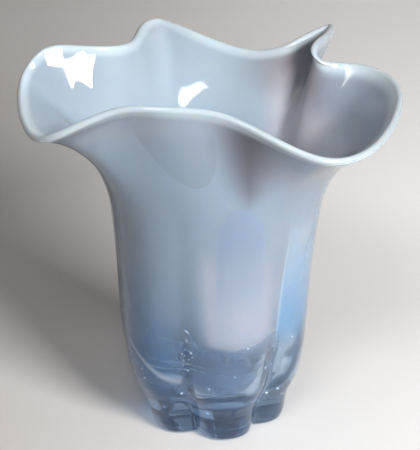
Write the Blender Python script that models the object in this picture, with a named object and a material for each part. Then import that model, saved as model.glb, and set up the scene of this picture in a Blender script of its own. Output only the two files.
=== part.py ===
"""A vase blown as one piece of glass: thick foot, body of six soft lobes, and a flaring, crimped rim."""

import bpy
import numpy as np

# The lengths below are in millimetres. The mesh is written in metres.
MM = 0.001

# How finely the skin is divided
COLUMNS = 112          # lines that run from the foot up to the rim
FLARE_OUTSIDE = 10     # steps of each line on the outside of the flare
FLARE_INSIDE = 8       # and on the inside
BEAD_STEPS = 4         # steps of the half circle round the rim's edge
CREASE_PASSES = 3      # how often each point is drawn to its neighbours inside the folds

# The body's lobes
LOBES = 6
FRONT_LOBE = -77.5     # degrees, counted from +X towards +Y
LOBE_SPREAD = 0.077    # radians that the lobes at the front are pulled apart
NOTCH_ROUNDING = 0.12  # how round the bottom of a notch is, as a share of its depth

# Outside of the body: height, reach of a lobe's middle, depth of the notches as a share of the reach
OUTSIDE = [
    (0.0, 37.0, 0.26),
    (1.2, 40.0, 0.25),
    (4.0, 42.0, 0.24),
    (10.0, 43.5, 0.22),
    (18.0, 45.5, 0.20),
    (25.0, 48.5, 0.17),
    (32.0, 51.7, 0.145),
    (42.0, 54.4, 0.12),
    (55.0, 56.0, 0.10),
    (75.0, 57.2, 0.08),
    (95.0, 58.2, 0.06),
    (115.0, 59.6, 0.04),
    (132.0, 61.4, 0.025),
]

# Inside of the body, in the same order. The glass below the first row is solid.
INSIDE = [
    (20.0, 2.0, 0.08),
    (20.4, 14.0, 0.10),
    (21.6, 24.5, 0.12),
    (24.2, 32.5, 0.14),
    (28.5, 38.8, 0.15),
    (36.0, 44.0, 0.14),
    (50.0, 48.6, 0.11),
    (66.0, 51.2, 0.085),
    (88.0, 53.0, 0.055),
    (110.0, 54.6, 0.035),
    (132.0, 57.0, 0.02),
]
SWAY = 1.8             # the body leans this far towards -X halfway up

# The rim: bearing in degrees, reach and height of the middle of its edge, slope of the lip there
CRIMPS = [
    (7, 105, 203, 58),
    (21, 100, 205, 64),
    (30, 86, 206, 68),
    (34, 74, 209, 78),
    (38, 74, 215, 84),
    (44, 91, 217, 90),
    (52, 113, 215, 68),
    (54, 88, 213, 86),
    (58, 80, 209, 78),
    (69, 78, 204, 70),
    (87, 84, 205, 64),
    (101, 98, 211, 56),
    (108, 112, 213, 44),
    (116, 100, 215, 56),
    (131, 75, 215, 68),
    (149, 73, 218, 71),
    (158, 89, 220, 68),
    (165, 102, 220, 65),
    (170, 111, 209, 56),
    (183, 110, 202, 26),
    (196, 110, 199, 14),
    (210, 111, 198, 12),
    (218, 105, 204, 16),
    (231, 84, 217, 40),
    (247, 74, 219, 58),
    (268, 66, 216, 70),
    (287, 74, 208, 60),
    (304, 99, 196, 32),
    (317, 106, 194, 32),
    (334, 104, 196, 48),
    (352, 104, 200, 56),
]
RIM_GLASS = 4.2        # thickness of the glass at the rim
NECK_GLASS = 4.4       # and where the flare starts
RISE = 38.0            # length over which the wall still climbs straight above the neck
LIP = 26.0             # length over which a flat lip keeps its slope, a steep one less
OWN_SHARE = 0.5        # how far the columns stand under their own place on the rim
LIP_TURN = 0.6         # how far the lip faces square to the rim's own run, 0 being straight out
RUN_SHARE = 1 / 28     # the part of the rim, to either side, over which that run is taken

GLASS_COLOUR = (0.56, 0.66, 0.76, 1.0)


def read_at(rows, height):
    """The other columns of the rows, read at a height on a smooth curve through them."""
    table = np.array(rows, dtype=float)
    at = table[:, 0]
    values = table[:, 1:]
    slopes = np.gradient(values, at, axis=0)
    low = int(np.clip(np.searchsorted(at, height) - 1, 0, len(at) - 2))
    gap = at[low + 1] - at[low]
    t = (height - at[low]) / gap
    start = (1 + 2 * t) * (1 - t) ** 2 * values[low] + t * (1 - t) ** 2 * gap * slopes[low]
    end = t * t * (3 - 2 * t) * values[low + 1] - t * t * (1 - t) * gap * slopes[low + 1]
    return start + end


def body_ring(rows, height, bearings):
    """One level ring of the lobed body."""
    reach, notch = read_at(rows, height)
    turned = bearings - np.radians(FRONT_LOBE)
    turned = turned - LOBE_SPREAD * np.sin(turned)
    wave = np.hypot(np.cos(LOBES / 2 * turned), NOTCH_ROUNDING) - NOTCH_ROUNDING
    wave = wave / (np.hypot(1, NOTCH_ROUNDING) - NOTCH_ROUNDING)
    out = reach * (1 - notch * (1 - wave) ** 1.3)
    x = out * np.cos(bearings) - SWAY * np.sin(np.pi * height / NECK)
    return np.column_stack((x, out * np.sin(bearings), np.full(len(bearings), height)))


def closed_curve(points, steps):
    """A smooth closed curve through the points, with its bend continuous, cut into steps per span."""
    count = len(points)
    ahead = np.roll(points, -1, axis=0)
    gaps = np.sqrt(np.linalg.norm((ahead - points)[:, :3], axis=1))
    system = np.zeros((count, count))
    pull = np.zeros(points.shape)
    for i in range(count):
        before = gaps[i - 1]
        after = gaps[i]
        system[i, i - 1] = 1 / before
        system[i, i] = 2 / before + 2 / after
        system[i, (i + 1) % count] = 1 / after
        pull[i] = 3 * (points[i] - points[i - 1]) / before**2 + 3 * (ahead[i] - points[i]) / after**2
    slopes = np.linalg.solve(system, pull)
    curve = []
    for i in range(count):
        for t in np.arange(steps) / steps:
            start = (1 + 2 * t) * (1 - t) ** 2 * points[i] + t * (1 - t) ** 2 * gaps[i] * slopes[i]
            end = t * t * (3 - 2 * t) * ahead[i] - t * t * (1 - t) * gaps[i] * slopes[(i + 1) % count]
            curve.append(start + end)
    return np.array(curve)


def rim_line():
    """The rim and its slope at every column, and the bearing from which that column climbs."""
    bearing, reach, height, slope = np.array(CRIMPS, dtype=float).T
    turn = np.radians(bearing)
    points = np.column_stack((reach * np.cos(turn), reach * np.sin(turn), height, slope))
    curve = closed_curve(points, 60)
    curve = np.vstack((curve, curve[:1]))
    bearings = np.unwrap(np.arctan2(curve[:, 1], curve[:, 0]))
    along = np.append(0, np.cumsum(np.linalg.norm(np.diff(curve[:, :3], axis=0), axis=1)))
    # The columns are spaced half by the length of the rim and half by bearing.
    share = 0.5 * along / along[-1] + 0.5 * (bearings - bearings[0]) / (2 * np.pi)
    wanted = np.arange(COLUMNS) / COLUMNS
    rim = np.column_stack([np.interp(wanted, share, curve[:, axis]) for axis in range(4)])
    own = np.interp(wanted, share, bearings)
    even = bearings[0] + 2 * np.pi * wanted
    return rim[:, :3], np.radians(rim[:, 3:]), OWN_SHARE * own + (1 - OWN_SHARE) * even


def flare(start, rim, slope, bearings, steps):
    """The sheet from the neck to the middle of the rim's edge, one ring per step."""
    outward = np.column_stack((np.cos(bearings), np.sin(bearings), np.zeros(COLUMNS)))
    up = np.array((0.0, 0.0, 1.0))
    reach = np.linalg.norm(rim[:, :2], axis=1)
    beside = round(COLUMNS * RUN_SHARE)
    run = np.roll(rim, -beside, axis=0) - np.roll(rim, beside, axis=0)
    across = np.column_stack((run[:, 1], -run[:, 0], np.zeros(COLUMNS)))
    across = across / np.linalg.norm(across, axis=1, keepdims=True)
    lead = LIP_TURN * across + (1 - LIP_TURN) * rim * (1, 1, 0) / reach[:, None]
    lead = lead / np.linalg.norm(lead, axis=1, keepdims=True)
    length = LIP * (1 + np.cos(slope)) / 2
    first = start + RISE * (up + 0.06 * outward)
    second = rim - length * (lead * np.cos(slope) + up * np.sin(slope))
    rings = []
    for t in np.linspace(0, 1, steps + 1):
        ring = (1 - t) ** 3 * start + 3 * (1 - t) ** 2 * t * first
        rings.append(ring + 3 * (1 - t) * t * t * second + t**3 * rim)
    return np.array(rings)


def rounded(rings):
    """The rings with their sharp creases rounded, most of all halfway up, where the folds run out."""
    strength = np.sin(np.linspace(0, np.pi, len(rings)))[:, None, None] ** 0.5 / 4
    for _ in range(CREASE_PASSES):
        beside = np.roll(rings, 1, axis=1) + np.roll(rings, -1, axis=1)
        rings = rings + strength * (beside - 2 * rings)
    return rings


def outward_of(rings):
    """Unit vectors square to the sheet, away from the vase's inside."""
    round_about = np.roll(rings, -1, axis=1) - np.roll(rings, 1, axis=1)
    upward = np.gradient(rings, axis=0)
    square = np.cross(round_about, upward)
    return square / np.linalg.norm(square, axis=2, keepdims=True)


def skin():
    """Every ring of the closed skin: up the outside, over the rim and down the inside."""
    rim, slope, bearings = rim_line()
    outside = [body_ring(OUTSIDE, row[0], bearings) for row in OUTSIDE]
    inside = [body_ring(INSIDE, row[0], bearings) for row in reversed(INSIDE)]
    underside = outside[0] * (0.55, 0.55, 1)

    sheet = flare(outside[-1], rim, slope, bearings, FLARE_OUTSIDE)
    square = outward_of(sheet)
    share = np.linspace(0, 1, FLARE_OUTSIDE + 1)[:, None, None] ** 1.5
    outer_flare = sheet + square * share * RIM_GLASS / 2

    tip = square[-1]
    climb = sheet[-1] - sheet[-2]
    climb = climb / np.linalg.norm(climb, axis=1, keepdims=True)
    bead = []
    for angle in np.linspace(0, np.pi, BEAD_STEPS + 1)[1:-1]:
        bead.append(rim + RIM_GLASS / 2 * (tip * np.cos(angle) + climb * np.sin(angle)))

    sheet = flare(outside[-1], rim, slope, bearings, FLARE_INSIDE)
    square = outward_of(sheet)
    share = np.linspace(0, 1, FLARE_INSIDE + 1)[:, None, None]
    depth = NECK_GLASS + (RIM_GLASS / 2 - NECK_GLASS) * share**1.5
    inner_flare = rounded(sheet - square * depth)[::-1]

    return [underside, *outside, *outer_flare[1:], *bead, *inner_flare[:-1], *inside]


def close_skin(rings):
    """One mesh: a fan at each end and a strip of faces between neighbouring rings."""
    points = np.vstack(rings)
    bottom = len(points)
    floor = bottom + 1
    centre = rings[-1].mean(axis=0)
    points = np.vstack((points, (0, 0, 0), centre))
    last = (len(rings) - 1) * COLUMNS
    faces = []
    for column in range(COLUMNS):
        beside = (column + 1) % COLUMNS
        faces.append((bottom, beside, column))
        for row in range(len(rings) - 1):
            low = row * COLUMNS
            high = low + COLUMNS
            faces.append((low + column, low + beside, high + beside, high + column))
        faces.append((floor, last + column, last + beside))
    return points * MM, faces


NECK = OUTSIDE[-1][0]

# Start from an empty file
for old in list(bpy.data.objects):
    bpy.data.objects.remove(old)

group = bpy.data.collections.new("crimped vase")
bpy.context.scene.collection.children.link(group)

# The glass
glass = bpy.data.materials.new("opal glass")
glass.use_nodes = True
surface = glass.node_tree.nodes["Principled BSDF"]
surface.inputs["Base Color"].default_value = GLASS_COLOUR
surface.inputs["Roughness"].default_value = 0.06
surface.inputs["IOR"].default_value = 1.5
surface.inputs["Transmission Weight"].default_value = 0.5
glass.diffuse_color = GLASS_COLOUR

# The vase
points, faces = close_skin(skin())
mesh = bpy.data.meshes.new("vase")
mesh.from_pydata(points.tolist(), [], faces)
mesh.validate()
mesh.polygons.foreach_set("use_smooth", [True] * len(mesh.polygons))
mesh.update()
mesh.materials.append(glass)
vase = bpy.data.objects.new("vase", mesh)
group.objects.link(vase)
print(len(mesh.vertices), "points", len(mesh.polygons), "faces")
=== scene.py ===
# %% [markdown]
# # A crimped vase of opal glass
# The vase is one piece of blown glass. Its foot is thick and clear, steel blue, with six lobes that the
# mould left in it. Higher up the glass turns milky, and the rim was pulled wide and crimped into waves
# while it was hot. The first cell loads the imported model, which gives the place and the size of
# everything below.

# %% Load the frame
import math

import bpy
import numpy as np
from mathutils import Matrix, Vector


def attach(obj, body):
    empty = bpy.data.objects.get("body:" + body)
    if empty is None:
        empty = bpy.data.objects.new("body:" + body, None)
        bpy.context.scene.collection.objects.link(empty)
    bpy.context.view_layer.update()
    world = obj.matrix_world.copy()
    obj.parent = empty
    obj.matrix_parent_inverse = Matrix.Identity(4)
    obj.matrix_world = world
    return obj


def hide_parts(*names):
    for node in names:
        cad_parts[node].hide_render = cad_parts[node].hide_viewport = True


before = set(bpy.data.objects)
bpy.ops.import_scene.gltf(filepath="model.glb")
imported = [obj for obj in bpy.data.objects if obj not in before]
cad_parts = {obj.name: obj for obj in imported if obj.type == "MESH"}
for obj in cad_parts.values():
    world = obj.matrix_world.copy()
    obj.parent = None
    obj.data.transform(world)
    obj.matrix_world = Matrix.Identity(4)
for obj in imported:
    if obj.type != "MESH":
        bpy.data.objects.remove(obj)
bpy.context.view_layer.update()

# Lengths are in millimetres where they carry MM, as in the CAD, and in metres in Blender.
MM = 0.001

# %% [markdown]
# ## Nodes written as sums
# Blender's node trees can do arithmetic, but a long formula takes dozens of Math nodes. A small class
# wraps one output socket, and its plus, minus, times and divide each add the Math node they stand for.
# The same class serves the shader trees and the geometry trees, because both know the Math node.

# %% A socket that can be reckoned with


class Wire:
    """One output socket of a tree. Arithmetic on it adds Math nodes."""

    def __init__(self, sheet, socket):
        self.sheet = sheet
        self.socket = socket

    def math(self, operation, *values):
        slots = {index: value for index, value in enumerate(values)}
        return self.sheet.add("ShaderNodeMath", {"operation": operation}, slots)

    def __add__(self, other):
        return self.math("ADD", self, other)

    def __radd__(self, other):
        return self.math("ADD", other, self)

    def __sub__(self, other):
        return self.math("SUBTRACT", self, other)

    def __rsub__(self, other):
        return self.math("SUBTRACT", other, self)

    def __mul__(self, other):
        return self.math("MULTIPLY", self, other)

    def __truediv__(self, other):
        return self.math("DIVIDE", self, other)

    def __pow__(self, other):
        return self.math("POWER", self, other)

    def sin(self):
        return self.math("SINE", self)

    def cos(self):
        return self.math("COSINE", self)

    def root(self):
        return self.math("SQRT", self)

    def below(self, limit):
        return self.math("LESS_THAN", self, limit)


class Sheet:
    """A node tree that is being filled."""

    def __init__(self, tree):
        self.tree = tree

    def add(self, kind, settings=None, inputs=None, output=0):
        """A node of this type, with its settings first and then its sockets' values or links."""
        node = self.tree.nodes.new(kind)
        for name, value in (settings or {}).items():
            setattr(node, name, value)
        for name, value in (inputs or {}).items():
            if isinstance(value, Wire):
                self.tree.links.new(value.socket, node.inputs[name])
            else:
                node.inputs[name].default_value = value
        return Wire(self, node.outputs[output]) if node.outputs else None

    def parts_of(self, wire):
        """The x, y and z of a vector."""
        node = self.tree.nodes.new("ShaderNodeSeparateXYZ")
        self.tree.links.new(wire.socket, node.inputs[0])
        return [Wire(self, output) for output in node.outputs]

    def smooth_step(self, wire, low, high):
        """0 below low, 1 above high, and a soft curve between."""
        settings = {"interpolation_type": "SMOOTHSTEP"}
        values = {"Value": wire, "From Min": low, "From Max": high, "To Min": 0.0, "To Max": 1.0}
        return self.add("ShaderNodeMapRange", settings, values)


print("sockets can be reckoned with")

# %% [markdown]
# ## Outlines of the body
# A blower's drawing of such a vase is two half outlines, one for the outside and one for the hollow.
# They are given here as rows of height, reach of a lobe's middle, and depth of the notches between the
# lobes as a share of the reach. A smooth curve runs through the rows. A revolved curve could make the
# body too, but the rim above it isn't round, so the wall is built ring by ring.

# %% The two half outlines
OUTSIDE = [
    (0.0, 37.0, 0.26),
    (1.2, 40.0, 0.25),
    (4.0, 42.0, 0.24),
    (10.0, 43.5, 0.22),
    (18.0, 45.5, 0.20),
    (25.0, 48.5, 0.17),
    (32.0, 51.7, 0.145),
    (42.0, 54.4, 0.12),
    (55.0, 56.0, 0.10),
    (75.0, 57.2, 0.08),
    (95.0, 58.2, 0.06),
    (115.0, 59.6, 0.04),
    (132.0, 61.4, 0.025),
]
INSIDE = [
    (20.0, 2.0, 0.08),
    (20.4, 14.0, 0.10),
    (21.6, 24.5, 0.12),
    (24.2, 32.5, 0.14),
    (28.5, 38.8, 0.15),
    (36.0, 44.0, 0.14),
    (50.0, 48.6, 0.11),
    (66.0, 51.2, 0.085),
    (88.0, 53.0, 0.055),
    (110.0, 54.6, 0.035),
    (132.0, 57.0, 0.02),
]
NECK = OUTSIDE[-1][0]


def read_at(rows, height):
    """The other columns of the rows, read at a height on a smooth curve through them."""
    table = np.array(rows, dtype=float)
    at = table[:, 0]
    values = table[:, 1:]
    slopes = np.gradient(values, at, axis=0)
    low = int(np.clip(np.searchsorted(at, height) - 1, 0, len(at) - 2))
    gap = at[low + 1] - at[low]
    t = (height - at[low]) / gap
    start = (1 + 2 * t) * (1 - t) ** 2 * values[low] + t * (1 - t) ** 2 * gap * slopes[low]
    end = t * t * (3 - 2 * t) * values[low + 1] - t * t * (1 - t) * gap * slopes[low + 1]
    return start + end


def heights_of(rows, steps):
    """The rows' own heights, with every gap between them cut into steps."""
    found = []
    for below, above in zip(rows[:-1], rows[1:]):
        found.extend(np.linspace(below[0], above[0], steps + 1)[:-1])
    return found + [rows[-1][0]]


print("outside reaches", OUTSIDE[0][1], "mm at the foot and", OUTSIDE[-1][1], "mm at the neck")

# %% [markdown]
# ## The crimped rim
# The rim is one closed line. Each row below is a place on it that the eye can find: the middle of a
# lobe, the bottom of a fold, or the shoulder between them, as bearing, reach, height, and the slope on
# which the glass lies there, in degrees. Shape tools such as a sine wave would make every lobe alike,
# and these were pulled by hand. A curve whose bend is continuous goes through all the rows, so the edge
# flows as hot glass does.

# %% The rim's places
CRIMPS = [
    (7, 105, 203, 58),
    (21, 100, 205, 64),
    (30, 86, 206, 68),
    (34, 74, 209, 78),
    (38, 74, 215, 84),
    (44, 91, 217, 90),
    (52, 113, 215, 68),
    (54, 88, 213, 86),
    (58, 80, 209, 78),
    (69, 78, 204, 70),
    (87, 84, 205, 64),
    (101, 98, 211, 56),
    (108, 112, 213, 44),
    (116, 100, 215, 56),
    (131, 75, 215, 68),
    (149, 73, 218, 71),
    (158, 89, 220, 68),
    (165, 102, 220, 65),
    (170, 111, 209, 56),
    (183, 110, 202, 26),
    (196, 110, 199, 14),
    (210, 111, 198, 12),
    (218, 105, 204, 16),
    (231, 84, 217, 40),
    (247, 74, 219, 58),
    (268, 66, 216, 70),
    (287, 74, 208, 60),
    (304, 99, 196, 32),
    (317, 106, 194, 32),
    (334, 104, 196, 48),
    (352, 104, 200, 56),
]
COLUMNS = 448
OWN_SHARE = 0.5        # how far the columns stand under their own place on the rim


def closed_curve(points, steps):
    """A smooth closed curve through the points, with its bend continuous, cut into steps per span."""
    count = len(points)
    ahead = np.roll(points, -1, axis=0)
    gaps = np.sqrt(np.linalg.norm((ahead - points)[:, :3], axis=1))
    system = np.zeros((count, count))
    pull = np.zeros(points.shape)
    for i in range(count):
        before = gaps[i - 1]
        after = gaps[i]
        system[i, i - 1] = 1 / before
        system[i, i] = 2 / before + 2 / after
        system[i, (i + 1) % count] = 1 / after
        pull[i] = 3 * (points[i] - points[i - 1]) / before**2 + 3 * (ahead[i] - points[i]) / after**2
    slopes = np.linalg.solve(system, pull)
    curve = []
    for i in range(count):
        for t in np.arange(steps) / steps:
            start = (1 + 2 * t) * (1 - t) ** 2 * points[i] + t * (1 - t) ** 2 * gaps[i] * slopes[i]
            end = t * t * (3 - 2 * t) * ahead[i] - t * t * (1 - t) * gaps[i] * slopes[(i + 1) % count]
            curve.append(start + end)
    return np.array(curve)


def rim_line():
    """The rim at every column, and the bearing from which that column climbs."""
    bearing, reach, height, slope = np.array(CRIMPS, dtype=float).T
    turn = np.radians(bearing)
    points = np.column_stack((reach * np.cos(turn), reach * np.sin(turn), height, slope))
    curve = closed_curve(points, 60)
    curve = np.vstack((curve, curve[:1]))
    bearings = np.unwrap(np.arctan2(curve[:, 1], curve[:, 0]))
    along = np.append(0, np.cumsum(np.linalg.norm(np.diff(curve[:, :3], axis=0), axis=1)))
    # The columns are spaced half by the length of the rim and half by bearing.
    share = 0.5 * along / along[-1] + 0.5 * (bearings - bearings[0]) / (2 * np.pi)
    wanted = np.arange(COLUMNS) / COLUMNS
    rim = np.column_stack([np.interp(wanted, share, curve[:, axis]) for axis in range(4)])
    own = np.interp(wanted, share, bearings)
    even = bearings[0] + 2 * np.pi * wanted
    print("rim length", round(along[-1]), "mm")
    return rim[:, :3], np.radians(rim[:, 3:]), OWN_SHARE * own + (1 - OWN_SHARE) * even


rim, lip_slope, bearings = rim_line()

# %% [markdown]
# ## The flare
# Above the neck every line of the wall first climbs and then leans out to its own place on the rim. A
# curve with four handles does this: two at the neck, straight up, and two at the rim, along the slope
# on which the glass lies there. Where the rim reaches far the slope is flat, and where a fold is pushed
# in it stays steep, so the waves are deep at the edge and die away downwards. The lip is turned part of
# the way to stand square to the rim's own run, and a steep lip keeps its slope over a shorter way.

# %% Sheet of the flare
RISE = 38.0            # length over which the wall still climbs straight above the neck
LIP = 26.0             # length over which a flat lip keeps its slope, a steep one less
LIP_TURN = 0.6         # how far the lip faces square to the rim's own run, 0 being straight out
RUN_SHARE = 1 / 28     # the part of the rim, to either side, over which that run is taken
FLARE_STEPS = 44
CREASE_PASSES = 48     # how often each point is drawn to its neighbours inside the folds


def flare(start, steps):
    """The sheet from the neck to the middle of the rim's edge, one ring per step."""
    outward = np.column_stack((np.cos(bearings), np.sin(bearings), np.zeros(COLUMNS)))
    up = np.array((0.0, 0.0, 1.0))
    reach = np.linalg.norm(rim[:, :2], axis=1)
    beside = round(COLUMNS * RUN_SHARE)
    run = np.roll(rim, -beside, axis=0) - np.roll(rim, beside, axis=0)
    across = np.column_stack((run[:, 1], -run[:, 0], np.zeros(COLUMNS)))
    across = across / np.linalg.norm(across, axis=1, keepdims=True)
    lead = LIP_TURN * across + (1 - LIP_TURN) * rim * (1, 1, 0) / reach[:, None]
    lead = lead / np.linalg.norm(lead, axis=1, keepdims=True)
    length = LIP * (1 + np.cos(lip_slope)) / 2
    first = start + RISE * (up + 0.06 * outward)
    second = rim - length * (lead * np.cos(lip_slope) + up * np.sin(lip_slope))
    rings = []
    for t in np.linspace(0, 1, steps + 1):
        ring = (1 - t) ** 3 * start + 3 * (1 - t) ** 2 * t * first
        rings.append(ring + 3 * (1 - t) * t * t * second + t**3 * rim)
    return np.array(rings)


def rounded(rings):
    """The rings with their sharp creases rounded, most of all halfway up, where the folds run out."""
    strength = np.sin(np.linspace(0, np.pi, len(rings)))[:, None, None] ** 0.5 / 4
    for _ in range(CREASE_PASSES):
        beside = np.roll(rings, 1, axis=1) + np.roll(rings, -1, axis=1)
        rings = rings + strength * (beside - 2 * rings)
    return rings


def outward_of(rings):
    """Unit vectors square to the sheet, away from the vase's inside."""
    round_about = np.roll(rings, -1, axis=1) - np.roll(rings, 1, axis=1)
    upward = np.gradient(rings, axis=0)
    square = np.cross(round_about, upward)
    return square / np.linalg.norm(square, axis=2, keepdims=True)


print("flare of", FLARE_STEPS, "rings")

# %% [markdown]
# ## One closed skin
# Glass has to be a closed body with a true thickness, or light bends wrongly in it. So the rings run
# from the middle of the underside, up the outside, over the round edge of the rim, down the inside and
# to the middle of the hollow's floor. The rings of the body are still round here. Each point carries
# three numbers: notch says how deep the notches will be at that height, lining is 0 on the outside and
# 1 on the inside, and lip is 1 on the rim and falls to 0 about a centimetre away from it.

# %% Rings of the skin
RIM_GLASS = 4.2        # thickness of the glass at the rim
NECK_GLASS = 4.4       # and where the flare starts
BEAD_STEPS = 14
BODY_STEPS = 5
LIP_BAND = 10.0        # width of the band beside the rim that the lip number covers

LOBES = 6
FRONT_LOBE = -77.5     # degrees, counted from +X towards +Y
LOBE_SPREAD = 0.077    # radians that the lobes at the front are pulled apart
NOTCH_ROUNDING = 0.12  # how round the bottom of a notch is, as a share of its depth
NOTCH_POWER = 1.3
SWAY = 1.8             # the body leans this far towards -X halfway up


def round_ring(rows, height):
    """A level round ring, and the depth that its notches will have."""
    reach, notch = read_at(rows, height)
    level = np.full(COLUMNS, height)
    ring = np.column_stack((reach * np.cos(bearings), reach * np.sin(bearings), level))
    return ring, notch


def pressed(ring, notch):
    """The ring as it will be once the lobes are in it."""
    turned = bearings - math.radians(FRONT_LOBE)
    turned = turned - LOBE_SPREAD * np.sin(turned)
    wave = np.hypot(np.cos(LOBES / 2 * turned), NOTCH_ROUNDING) - NOTCH_ROUNDING
    wave = wave / (math.hypot(1, NOTCH_ROUNDING) - NOTCH_ROUNDING)
    keep = 1 - notch * (1 - wave) ** NOTCH_POWER
    return ring * np.column_stack((keep, keep, np.ones(COLUMNS)))


outside = [round_ring(OUTSIDE, height) for height in heights_of(OUTSIDE, BODY_STEPS)]
inside = [round_ring(INSIDE, height) for height in reversed(heights_of(INSIDE, BODY_STEPS))]
sheet = flare(pressed(*outside[-1]), FLARE_STEPS)
square = outward_of(sheet)
share = np.linspace(0, 1, FLARE_STEPS + 1)[:, None, None] ** 1.5
outer_flare = sheet + square * share * RIM_GLASS / 2
inner_flare = rounded(sheet - square * (NECK_GLASS + (RIM_GLASS / 2 - NECK_GLASS) * share))[::-1]

climb = sheet[-1] - sheet[-2]
climb = climb / np.linalg.norm(climb, axis=1, keepdims=True)
bead = []
for angle in np.linspace(0, math.pi, BEAD_STEPS + 1)[1:-1]:
    bead.append(rim + RIM_GLASS / 2 * (square[-1] * math.cos(angle) + climb * math.sin(angle)))

underside = [(outside[0][0] * (part, part, 1), outside[0][1]) for part in (0.3, 0.6, 0.85)]
rings = [(ring, notch, 0.0) for ring, notch in (*underside, *outside)]
rings += [(ring, 0.0, 0.0) for ring in outer_flare[1:]]
rings += [(ring, 0.0, (step + 1) / BEAD_STEPS) for step, ring in enumerate(bead)]
rings += [(ring, 0.0, 1.0) for ring in inner_flare[:-1]]
rings += [(ring, notch, 1.0) for ring, notch in inside]
print(len(rings), "rings of", COLUMNS, "points")

# %% The skin as a mesh


def skin_mesh(rings):
    """One mesh: a fan at each end and a strip of faces between neighbouring rings."""
    points = np.vstack([ring for ring, notch, lining in rings])
    notches = np.repeat([notch for ring, notch, lining in rings], COLUMNS)
    linings = np.repeat([lining for ring, notch, lining in rings], COLUMNS)
    apart = np.linalg.norm(points - np.tile(rim, (len(rings), 1)), axis=1)
    lips = np.clip(1 - (apart - RIM_GLASS / 2) / LIP_BAND, 0, 1)
    bottom = len(points)
    floor = bottom + 1
    points = np.vstack((points, (0, 0, 0), rings[-1][0].mean(axis=0))) * MM
    last = (len(rings) - 1) * COLUMNS
    faces = []
    for column in range(COLUMNS):
        beside = (column + 1) % COLUMNS
        faces.append((bottom, beside, column))
        for row in range(len(rings) - 1):
            low = row * COLUMNS
            high = low + COLUMNS
            faces.append((low + column, low + beside, high + beside, high + column))
        faces.append((floor, last + column, last + beside))
    mesh = bpy.data.meshes.new("vase glass")
    mesh.from_pydata(points.tolist(), [], faces)
    for name, values, ends in (
        ("notch", notches, (0, 0)),
        ("lining", linings, (0, 1)),
        ("lip", lips, (0, 0)),
    ):
        mesh.attributes.new(name, "FLOAT", "POINT").data.foreach_set("value", np.append(values, ends))
    mesh.polygons.foreach_set("use_smooth", [True] * len(mesh.polygons))
    mesh.update()
    return mesh


plain = bpy.data.objects.new("vase_glass", skin_mesh(rings))
bpy.context.scene.collection.objects.link(plain)
print(len(plain.data.polygons), "faces before the lobes are pressed in")

# %% [markdown]
# ## Opal over clear
# The milky part and the clear part are one piece of glass, so they share one material. A Mix Shader
# goes from clear glass to milky glass. The outer skin is mostly clear, a little milkier upwards, and the
# lining inside is milky down to the foot, except on the left, where it thins out. The milky glass
# scatters light under its surface, red light farthest, which is why thin opal glass looks blue by
# reflected light and warm where light comes through it. Pools are soft shapes in the front in which the
# tint changes: an oval that is a painted reflection, a shield under the front of the rim and a darker
# one beside it that are painted shade, and a warm one. Light and shade are painted in more places too:
# a highlight down a notch, a sheen low on the left, a lit right lobe, dark edges, and greys of shade
# inside the flare.

# %% Glass
BLUE_SOAK = (0.22, 0.50, 0.74)
SOAK = 30.0            # how fast the clear glass takes light away, per metre
CLEAR_SHADOW = (0.48, 0.54, 0.60)
CLEAR_TINT = (0.97, 0.985, 1.0)
FOOT_BLUE = (0.08, 0.21, 0.40)
MILK_BLUE = (0.35, 0.435, 0.525)
MILK_LILAC = (0.43, 0.405, 0.46)
MILK_PALE = (0.62, 0.73, 0.80)
MILK_WARM = (0.66, 0.63, 0.66)
# Brighter blues of the right lobe, painted light.
LIT_RIGHT_BLUE = (0.22, 0.42, 0.62)
LIT_RIGHT_PALE = (0.50, 0.63, 0.73)
# Greys of painted shade inside the flare.
SIDE_SHADE_GREY = (0.20, 0.23, 0.30)
BACK_SHADE_GREY = (0.24, 0.215, 0.24)
# A pale line painted as a highlight down a notch.
NOTCH_HIGHLIGHT_PALE = (0.80, 0.88, 0.94)
# A deep blue painted as shade where the outside is seen edge on.
EDGE_SHADE_BLUE = (0.13, 0.28, 0.49)
# A pale tint for the painted sheen low on the left.
SHEEN_PALE = (0.60, 0.64, 0.70)
THREAD_PALE = (0.42, 0.56, 0.70)
# A violet tint for the painted reflection on the front lobe.
REFLECTION_VIOLET = (0.24, 0.32, 0.46)
# A dark tint for painted shade on the front under the rim.
PAINTED_SHADE_TINT = (0.10, 0.085, 0.115)
GLASS_IOR = 1.5
SPREAD = 0.006         # how far red light spreads under the skin of the milk, in metres
SPREAD_SHARES = (1.0, 0.62, 0.42)          # and the shares of that for red, green and blue
RIPPLE_HEIGHT = 0.001  # height of the slow ripples in the surface, in metres
THREAD_FLATNESS = 13.0 # threads are this many times longer than high
THREAD_SCALE = 26.0

# Pools in the front, in metres: x and z of the round end, x and z of the open end, half width,
# how soon the round end reaches that width, and the softness of the border.
# The shield and the shade pools are painted shade under the front of the rim.
SHADED_SHIELD = (-0.010, 0.171, -0.025, 0.209, 0.023, 0.9, 0.001)
SHADE = (0.019, 0.156, 0.017, 0.224, 0.026, 1.4, 0.013)
# The oval is a painted reflection on the front lobe.
OVAL_REFLECTION = (0.0142, 0.159, 0.0142, 0.083, 0.0146, 3.6, 0.0009)
WARM = (0.013, 0.067, 0.010, 0.140, 0.024, 9.0, 0.005)
NOTCH_RIGHT = -0.79    # bearing of the notch right of the front lobe, radians
NOTCH_LEFT = -1.90     # and of the one left of it
# A painted sheen low on the left.
SHEEN_ARC_SHAPE = (-0.0205, 0.0436, 22.5, 0.0056)   # low end in x and z, bend and half width, in metres


def new_material(name):
    material = bpy.data.materials.new(name)
    material.use_nodes = True
    material.node_tree.nodes.clear()
    return material, Sheet(material.node_tree)


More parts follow.
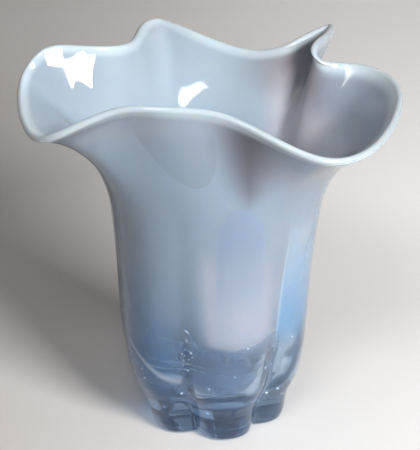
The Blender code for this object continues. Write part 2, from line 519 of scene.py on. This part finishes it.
def blend(sheet, factor, low, high):
    """A colour between low, where the factor is 0, and high, where it is 1."""
    low, high = (one if isinstance(one, Wire) else (*one, 1) for one in (low, high))
    values = {"Factor": factor, 6: low, 7: high}
    return sheet.add("ShaderNodeMix", {"data_type": "RGBA"}, values, output=2)


def noise(sheet, place, scale, detail, roughness):
    values = {"Vector": place, "Scale": scale, "Detail": detail, "Roughness": roughness}
    return sheet.add("ShaderNodeTexNoise", None, values)


def pool(sheet, x, y, z, shape):
    """1 inside a pool on the side that faces the camera, 0 outside it. Its open end fades away."""
    end_x, end_z, open_x, open_z, half, roundness, softness = shape
    climb = (z - end_z) / (open_z - end_z)
    grown = climb.math("MINIMUM", climb * roundness, 1.0)
    grown = climb.math("MAXIMUM", grown, 0.0)
    width = (grown * (2 - grown)).root() * half
    middle = climb * (open_x - end_x) + end_x
    aside = (x - middle).math("ABSOLUTE", x - middle)
    found = sheet.smooth_step(width - aside, 0.0, softness * 2) * sheet.smooth_step(0.0 - y, 0.0, 0.02)
    return found * (1 - sheet.smooth_step(climb, 0.65, 1.0))


def painted_sheen_arc(sheet, x, y, z):
    """1 in the middle of a painted sheen low on the left, which bends up and thins out as it goes round.
    """
    low_x, low_z, bend, thick = SHEEN_ARC_SHAPE
    run = x - low_x
    off = z - low_z - run * run * bend
    thick = run.math("MAXIMUM", thick + run * 0.14, 0.0008)
    found = 1 - sheet.smooth_step(off.math("ABSOLUTE", off), 0.0, thick)
    found = found * (1 - sheet.smooth_step(run, 0.0, 0.003)) * sheet.smooth_step(run, -0.034, -0.028)
    return found * (1 - sheet.smooth_step(y, -0.03, -0.02))


def opal_glass():
    material, sheet = new_material("opal glass")
    place = sheet.add("ShaderNodeTexCoord", output="Object")
    x, y, z = sheet.parts_of(place)
    cloud = noise(sheet, place, 22.0, 3.0, 0.5)
    drift = noise(sheet, place, 9.0, 2.0, 0.4)
    lining = sheet.add("ShaderNodeAttribute", {"attribute_name": "lining"}, output="Fac")
    lip = sheet.add("ShaderNodeAttribute", {"attribute_name": "lip"}, output="Fac")
    left = x.math("MINIMUM", x, 0.0)
    bearing = y.math("ARCTAN2", y, x)

    # The outside seen edge on, below the flare, darkened with a deep blue as painted shade for the dark
    # surroundings seen through it.
    edge = sheet.add("ShaderNodeLayerWeight", None, {"Blend": 0.5}, output="Facing")
    edge = sheet.smooth_step(edge, 0.52, 0.80) * (1 - lining)
    edge = edge * (1 - sheet.smooth_step(z, 0.13, 0.18))

    # The lobe right of the front one, whose brighter blue is painted light coming through it from the
    # right, and a pale line down the notch between the two, painted as a highlight.
    lobe = sheet.smooth_step(bearing, NOTCH_RIGHT - 0.01, NOTCH_RIGHT + 0.02)
    lobe = lobe * (1 - sheet.smooth_step(bearing, 0.0, 0.8))
    lobe = lobe * (1 - sheet.smooth_step(z, 0.10, 0.17))
    beside = bearing.math("ABSOLUTE", bearing - NOTCH_RIGHT)
    notch_highlight = (1 - sheet.smooth_step(beside, 0.004, 0.016)) * (1 - lining)
    notch_highlight = notch_highlight * sheet.smooth_step(z, 0.03, 0.05) * (1 - sheet.smooth_step(z, 0.09, 0.15))

    # Threads drawn out level in the foot, as the glass was gathered.
    threads = sheet.add("ShaderNodeCombineXYZ", None, {0: x, 1: y, 2: z * THREAD_FLATNESS})
    threads = noise(sheet, threads, THREAD_SCALE, 3.0, 0.6) - 0.5
    drawn = sheet.smooth_step(threads, 0.02, 0.20) * (1 - lining)
    drawn = drawn * (1 - sheet.smooth_step(z, 0.045, 0.070))

    # Where the milk is, on either skin. Its lower border is uneven and dips on the right.
    level = z + (cloud - 0.5) * 0.02 + x * 0.20
    low = sheet.add(
        "ShaderNodeMapRange",
        {"interpolation_type": "SMOOTHSTEP"},
        {"Value": level + threads * 0.012, "From Min": 0.060, "From Max": 0.080 - left * 1.4},
    )
    least = 0.90 - sheet.smooth_step(x, -0.032, -0.020) * 0.76
    milk_inside = least + low * (0.96 - least) + threads * 0.10 * (1 - low)
    outer_border = sheet.smooth_step(z + threads * 0.014 - left * 1.0, 0.058, 0.079)
    milk_outside = 0.14 + outer_border * 0.16 + sheet.smooth_step(z, 0.09, 0.20) * 0.26
    # The oval is a painted reflection: milkier and violet.
    oval_reflection = pool(sheet, x, y, z, OVAL_REFLECTION) * (1 - lining)
    sheen_arc = painted_sheen_arc(sheet, x, y, z) * (1 - lining)
    milk_outside = milk_outside + oval_reflection * 0.12 + sheen_arc * 0.26 + drawn * 0.16
    milk = milk_outside + (milk_inside - milk_outside) * lining
    milk = milk * (1 - edge * 0.2) * (1 - lobe * 0.3 * (1 - lining))

    # Its colour: blue or lilac, and steel blue at the foot.
    right = sheet.smooth_step(x, 0.0, 0.045) * (1 - sheet.smooth_step(x, 0.055, 0.078))
    warm = sheet.smooth_step(drift + right * lining * 0.2 + left * 2.0, 0.40, 0.68)
    body = blend(sheet, warm, MILK_BLUE, MILK_LILAC)
    body = blend(sheet, sheet.smooth_step(level + x * 0.12, 0.03, 0.115), FOOT_BLUE, body)

    # Places inside the flare: the back right and the two side lobes, where shade is painted, and the
    # pale edge of the rim.
    back_shade = right * sheet.smooth_step(y, 0.02, 0.045) * sheet.smooth_step(z, 0.172, 0.195)
    east_shade = sheet.smooth_step(x, 0.046, 0.062) * sheet.smooth_step(z, 0.168, 0.188)
    west_shade = 1 - sheet.smooth_step(x, -0.085, -0.055)
    wide = sheet.smooth_step(x, 0.05, 0.08) * lining
    rim_edge = sheet.smooth_step(lip, 0.20, 1.0) * wide + sheet.smooth_step(lip, 0.60, 1.0) * (1 - wide)

    # Each tint lies over those before it. A row is its place, its strength there and its colour.
    lit_right_tone = blend(sheet, sheet.smooth_step(z, 0.07, 0.14), LIT_RIGHT_BLUE, LIT_RIGHT_PALE)
    # Some rows are painted light and shade: the oval reflection, the shield and the shade, the dark
    # edge, the lit right lobe, the notch highlight, the sheen and the greys inside the flare.
    tints = [
        (sheet.smooth_step(z, 0.15, 0.19) * lining, 0.25, MILK_PALE),
        (pool(sheet, x, y, z, WARM), 0.5, MILK_WARM),
        (oval_reflection, 0.7, REFLECTION_VIOLET),
        (pool(sheet, x, y, z, SHADE), 0.85, PAINTED_SHADE_TINT),
        (pool(sheet, x, y, z, SHADED_SHIELD) * (1 - lining), 0.17, PAINTED_SHADE_TINT),
        (edge, 0.75, EDGE_SHADE_BLUE),
        (lobe, 0.85, lit_right_tone),
        (notch_highlight, 0.6, NOTCH_HIGHLIGHT_PALE),
        (sheen_arc, 0.7, SHEEN_PALE),
        (drawn, 0.6, THREAD_PALE),
        (back_shade * lining, 0.6, BACK_SHADE_GREY),
        (east_shade * lining, 0.65, SIDE_SHADE_GREY),
        (west_shade * lining, 0.3, SIDE_SHADE_GREY),
        (rim_edge, 0.75, MILK_PALE),
    ]
    for where, strength, tint in tints:
        body = blend(sheet, where * strength, body, tint)

    # Gloss, duller inside the right side lobe, and slow ripples with the threads in the foot.
    rough = 0.04 + sheet.smooth_step(cloud, 0.5, 0.8) * 0.04
    rough = rough + sheet.smooth_step(x, 0.070, 0.085) * lining * 0.2
    relief = drift + threads * 0.5 * (1 - sheet.smooth_step(z, 0.05, 0.09))
    values = {"Strength": 0.12, "Distance": RIPPLE_HEIGHT, "Height": relief}
    ripple = sheet.add("ShaderNodeBump", None, values)

    opal = sheet.add(
        "ShaderNodeBsdfPrincipled",
        None,
        {
            "Base Color": body,
            "Roughness": rough,
            "IOR": GLASS_IOR,
            "Subsurface Weight": 0.85,
            "Subsurface Radius": SPREAD_SHARES,
            "Subsurface Scale": SPREAD,
            "Normal": ripple,
        },
    )
    clear = sheet.add(
        "ShaderNodeBsdfPrincipled",
        None,
        {
            "Base Color": (*CLEAR_TINT, 1),
            "Roughness": 0.06,
            "IOR": GLASS_IOR,
            "Transmission Weight": 1.0,
            "Coat Weight": 0.5,
            "Normal": ripple,
        },
    )
    shadow = sheet.add("ShaderNodeLightPath", output="Is Shadow Ray")
    open_way = sheet.add("ShaderNodeBsdfTransparent", None, {"Color": (*CLEAR_SHADOW, 1)})
    lit_clear = sheet.add("ShaderNodeMixShader", None, {0: shadow, 1: clear, 2: open_way})
    both = sheet.add("ShaderNodeMixShader", None, {0: milk, 1: lit_clear, 2: opal})
    soak = sheet.add("ShaderNodeVolumeAbsorption", None, {"Color": (*BLUE_SOAK, 1), "Density": SOAK})
    sheet.add("ShaderNodeOutputMaterial", None, {"Surface": both, "Volume": soak})
    return material


glass = opal_glass()
plain.data.materials.append(glass)
print("glass of", len(glass.node_tree.nodes), "nodes")

# %% [markdown]
# ## Pressing in the lobes
# The mould gave the body six lobes. They follow one rule: the wall is drawn in between them by a
# rounded cosine wave, deep at the foot and fading upwards. Moving points by a rule is what Geometry
# Nodes are for. The tree's named inputs take the number of lobes, the front lobe's bearing and the sway
# of the body from the values given with the rings.

# %% Tree that presses the lobes


def lobe_tree(material):
    tree = bpy.data.node_groups.new("press the lobes", "GeometryNodeTree")
    tree.interface.new_socket("Geometry", in_out="INPUT", socket_type="NodeSocketGeometry")
    for name in ("Lobes", "Front Lobe", "Lobe Spread", "Notch Rounding", "Sway", "Neck Height"):
        tree.interface.new_socket(name, in_out="INPUT", socket_type="NodeSocketFloat")
    tree.interface.new_socket("Geometry", in_out="OUTPUT", socket_type="NodeSocketGeometry")
    sheet = Sheet(tree)
    inlet = tree.nodes.new("NodeGroupInput")
    given = {socket.name: Wire(sheet, socket) for socket in inlet.outputs if socket.name}

    place = sheet.add("GeometryNodeInputPosition")
    x, y, z = sheet.parts_of(place)
    notch = sheet.add("GeometryNodeInputNamedAttribute", {"data_type": "FLOAT"}, {"Name": "notch"})
    turned = y.math("ARCTAN2", y, x) - given["Front Lobe"]
    turned = turned - given["Lobe Spread"] * turned.sin()
    rounding = given["Notch Rounding"]
    swing = (given["Lobes"] * 0.5 * turned).cos()
    wave = (swing * swing + rounding * rounding).root() - rounding
    wave = wave / ((1 + rounding * rounding).root() - rounding)
    keep = 1 - notch * (1 - wave) ** NOTCH_POWER
    lean = given["Sway"] * (z / given["Neck Height"] * math.pi).sin() * z.below(given["Neck Height"])
    moved = sheet.add("ShaderNodeCombineXYZ", None, {0: x * keep - lean, 1: y * keep, 2: z})

    values = {"Geometry": given["Geometry"], "Position": moved}
    shaped = sheet.add("GeometryNodeSetPosition", None, values)
    real = sheet.add("GeometryNodeRealizeInstances", None, {"Geometry": shaped})
    done = sheet.add("GeometryNodeSetMaterial", None, {"Geometry": real, "Material": material})
    outlet = tree.nodes.new("NodeGroupOutput")
    tree.links.new(done.socket, outlet.inputs[0])
    return tree


def run_tree(owner, tree, values):
    """Sets the named inputs, evaluates the tree and leaves its result as a plain mesh."""
    modifier = owner.modifiers.new(tree.name, "NODES")
    modifier.node_group = tree
    for item in tree.interface.items_tree:
        if item.in_out == "INPUT" and item.name in values:
            modifier[item.identifier] = values[item.name]
    graph = bpy.context.evaluated_depsgraph_get()
    mesh = bpy.data.meshes.new_from_object(owner.evaluated_get(graph))
    owner.modifiers.remove(modifier)
    owner.data = mesh
    return owner


vase = run_tree(
    plain,
    lobe_tree(glass),
    {
        "Lobes": float(LOBES),
        "Front Lobe": math.radians(FRONT_LOBE),
        "Lobe Spread": LOBE_SPREAD,
        "Notch Rounding": NOTCH_ROUNDING,
        "Sway": SWAY * MM,
        "Neck Height": NECK * MM,
    },
)
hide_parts("vase")
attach(vase, "root")
triangles = sum(len(face.vertices) - 2 for face in vase.data.polygons)
print("vase of", triangles, "triangles")

# %% [markdown]
# ## Bubbles
# Small bubbles are caught in the thick glass low down. They are scattered by a second tree over the
# lower part of the outside, more of them along one notch, pushed in from the surface, and given sizes
# at random from a fixed seed.

# %% Tree that scatters the bubbles


def bubble_tree(material):
    tree = bpy.data.node_groups.new("scatter the bubbles", "GeometryNodeTree")
    tree.interface.new_socket("Geometry", in_out="INPUT", socket_type="NodeSocketGeometry")
    for name in ("Density", "Crowding", "Top", "Depth", "Smallest", "Largest"):
        tree.interface.new_socket(name, in_out="INPUT", socket_type="NodeSocketFloat")
    tree.interface.new_socket("Seed", in_out="INPUT", socket_type="NodeSocketInt")
    tree.interface.new_socket("Geometry", in_out="OUTPUT", socket_type="NodeSocketGeometry")
    sheet = Sheet(tree)
    inlet = tree.nodes.new("NodeGroupInput")
    given = {socket.name: Wire(sheet, socket) for socket in inlet.outputs if socket.name}

    x, y, z = sheet.parts_of(sheet.add("GeometryNodeInputPosition"))
    lining = sheet.add("GeometryNodeInputNamedAttribute", {"data_type": "FLOAT"}, {"Name": "lining"})
    low_outside = z.below(given["Top"]) * lining.below(0.5) * (1 - z.below(0.006))
    bearing = y.math("ARCTAN2", y, x)
    beside = bearing.math("ABSOLUTE", bearing - NOTCH_LEFT)
    density = given["Density"] * (1 + beside.below(0.07) * (1 - z.below(0.052)) * given["Crowding"])
    scattered = tree.nodes.new("GeometryNodeDistributePointsOnFaces")
    for name, wire in (
        ("Mesh", given["Geometry"]),
        ("Selection", low_outside),
        ("Density", density),
        ("Seed", given["Seed"]),
    ):
        tree.links.new(wire.socket, scattered.inputs[name])
    points, square = (Wire(sheet, scattered.outputs[name]) for name in ("Points", "Normal"))
    push = {0: square, 3: 0 - given["Depth"]}
    inward = sheet.add("ShaderNodeVectorMath", {"operation": "SCALE"}, push)
    sunk = sheet.add("GeometryNodeSetPosition", None, {"Geometry": points, "Offset": inward})
    ball = sheet.add("GeometryNodeMeshIcoSphere", None, {"Radius": 1.0, "Subdivisions": 2})
    size = sheet.add(
        "FunctionNodeRandomValue",
        {"data_type": "FLOAT"},
        {2: given["Smallest"], 3: given["Largest"], "Seed": given["Seed"]},
        output=1,
    )
    placed = {"Points": sunk, "Instance": ball, "Scale": size}
    balls = sheet.add("GeometryNodeInstanceOnPoints", None, placed)
    real = sheet.add("GeometryNodeRealizeInstances", None, {"Geometry": balls})
    smooth = sheet.add("GeometryNodeSetShadeSmooth", None, {0: real})
    done = sheet.add("GeometryNodeSetMaterial", None, {"Geometry": smooth, "Material": material})
    outlet = tree.nodes.new("NodeGroupOutput")
    tree.links.new(done.socket, outlet.inputs[0])
    return tree


def bubble_material():
    """A silvery bubble, a little brighter on some than on others."""
    material, sheet = new_material("bubble")
    place = sheet.add("ShaderNodeTexCoord", output="Object")
    tone = blend(sheet, noise(sheet, place, 60.0, 1.0, 0.5), (0.70, 0.80, 0.90), (0.95, 0.97, 1.0))
    face = sheet.add("ShaderNodeBsdfPrincipled", None, {"Base Color": tone, "Roughness": 0.15})
    sheet.add("ShaderNodeOutputMaterial", None, {"Surface": face})
    return material


bubbles = bpy.data.objects.new("bubbles", vase.data.copy())
bpy.context.scene.collection.objects.link(bubbles)
run_tree(
    bubbles,
    bubble_tree(bubble_material()),
    {
        "Density": 2300.0,
        "Crowding": 60.0,
        "Top": 0.08,
        "Depth": 0.0012,
        "Smallest": 0.0003,
        "Largest": 0.0010,
        "Seed": 11,
    },
)
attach(bubbles, "root")
print("bubbles of", len(bubbles.data.polygons), "faces")

# %% [markdown]
# ## Table and backdrop
# The vase stands on a plain pale table that runs back and up into a pale wall, with a round corner
# between them. The paper is painted darker on the left than on the right, as painted shade where the
# window's light falls off and the vase's shadow spreads. Its far part glows a little for the eye, for
# reflections and for what is seen through the glass, so that it stays pale without more light on the
# vase.

# %% Floor and wall
AIR_GAP = 0.0005       # the air that stays between a ground foot and the table
# The left of the paper, darker as painted shade.
PAPER_LEFT_SHADE = (0.52, 0.49, 0.47)
PAPER_RIGHT = (0.94, 0.94, 0.945)
PAPER_GLOW = (1.0, 0.985, 0.965)
GLOW_RIGHT = 0.19      # light that the eye gets from the far paper on the right, 1 being white
GLOW_FAR = 0.085       # and from all of the farthest paper


def backdrop():
    """One sheet: level floor, quarter round and upright wall."""
    depth, corner, height, width = 3.0, 0.6, 2.4, 5.0
    outline = [(-2.4, 0.0), (depth - corner, 0.0)]
    for angle in np.linspace(0, math.pi / 2, 17)[1:]:
        outline.append((depth - corner + corner * math.sin(angle), corner - corner * math.cos(angle)))
    outline.append((depth, height))
    points = [(side * width / 2, y, z - AIR_GAP) for y, z in outline for side in (-1, 1)]
    faces = [(2 * i, 2 * i + 1, 2 * i + 3, 2 * i + 2) for i in range(len(outline) - 1)]
    mesh = bpy.data.meshes.new("table and wall")
    mesh.from_pydata(points, [], faces)
    mesh.polygons.foreach_set("use_smooth", [True] * len(faces))
    sheet_object = bpy.data.objects.new("table_and_wall", mesh)
    bpy.context.scene.collection.objects.link(sheet_object)
    return sheet_object


def matt_paper():
    material, sheet = new_material("pale matt paper")
    place = sheet.add("ShaderNodeTexCoord", output="Object")
    x, y, z = sheet.parts_of(place)
    grain = noise(sheet, place, 3.0, 4.0, 0.5)
    near = y.math("MINIMUM", y, 0.05)
    side = sheet.smooth_step(x + near * 0.6 + (grain - 0.5) * 0.1, -0.35, 0.25)
    tone = blend(sheet, side, PAPER_LEFT_SHADE, PAPER_RIGHT)
    seen = sheet.add("ShaderNodeLightPath", output="Is Camera Ray")
    for name in ("Is Glossy Ray", "Is Transmission Ray"):
        seen = seen.math("MAXIMUM", seen, sheet.add("ShaderNodeLightPath", output=name))
    far = sheet.smooth_step(y, 0.08, 0.35)
    farther = sheet.smooth_step(y, 0.45, 0.80)
    glow = side * side * far * (1 - farther * 0.5) * GLOW_RIGHT + farther * GLOW_FAR
    values = {
        "Base Color": tone,
        "Roughness": 0.7,
        "Emission Color": blend(sheet, glow * seen, (0.0, 0.0, 0.0), PAPER_GLOW),
        "Emission Strength": 1.0,
    }
    face = sheet.add("ShaderNodeBsdfPrincipled", None, values)
    sheet.add("ShaderNodeOutputMaterial", None, {"Surface": face})
    return material


table = backdrop()
table.data.materials.append(matt_paper())
print("table and wall set")

# %% [markdown]
# ## Light and camera
# A wide window high on the right gives the sharp white shapes that gloss shows, and throws the soft
# shadow to the left. A small weak pane adds the white shape on the back wall. The room's own light fills
# the rest. The camera stands about a metre away and looks down at the rim.

# %% Light


def area_light(name, place, target, size, power, colour):
    lamp = bpy.data.lights.new(name, "AREA")
    lamp.shape = "RECTANGLE"
    lamp.size, lamp.size_y = size
    lamp.energy = power
    lamp.color = colour
    light = bpy.data.objects.new(name, lamp)
    light.location = place
    light.rotation_euler = (Vector(target) - Vector(place)).to_track_quat("-Z", "Y").to_euler()
    bpy.context.scene.collection.objects.link(light)
    return light


# Place, target, size, power in watts and colour of each.
WINDOW = ((0.81, -1.17, 0.91), (0.0, 0.0, 0.12), (0.62, 0.34), 36.0, (1.0, 0.985, 0.96))
FAR_PANE = ((-0.157, -0.823, 0.961), (-0.02, 0.07, 0.18), (0.42, 0.24), 3.9, (1.0, 0.99, 0.97))
ROOM_TINT = (1.0, 0.93, 0.90)
ROOM_LIGHT = 0.12

area_light("window", *WINDOW)
area_light("far pane", *FAR_PANE)

world = bpy.data.worlds.new("room")
world.use_nodes = True
room = world.node_tree.nodes["Background"].inputs
room["Color"].default_value = (*ROOM_TINT, 1)
room["Strength"].default_value = ROOM_LIGHT
bpy.context.scene.world = world
print(len(bpy.data.lights), "lights")

# %% Camera
VIEW_FROM = Vector((0.0, -1.0, 0.56))
AIM = Vector((0.0, 0.0, 0.110))
IMAGE_WIDTH, IMAGE_HEIGHT = 420, 450
FOCAL_PIXELS = 1864.0
SENSOR = 36.0
AXIS_COLUMN, AIM_ROW = 215.0, 244.7

lens = bpy.data.cameras.new("camera")
lens.sensor_fit = "HORIZONTAL"
lens.sensor_width = SENSOR
lens.lens = FOCAL_PIXELS * SENSOR / IMAGE_WIDTH
lens.shift_x = (IMAGE_WIDTH / 2 - AXIS_COLUMN) / IMAGE_WIDTH
lens.shift_y = (AIM_ROW - IMAGE_HEIGHT / 2) / IMAGE_WIDTH
camera = bpy.data.objects.new("camera", lens)
camera.location = VIEW_FROM
camera.rotation_euler = (AIM - VIEW_FROM).to_track_quat("-Z", "Y").to_euler()
bpy.context.scene.collection.objects.link(camera)
bpy.context.scene.camera = camera
bpy.context.scene.view_settings.view_transform = "Standard"
print("lens", round(lens.lens), "mm")
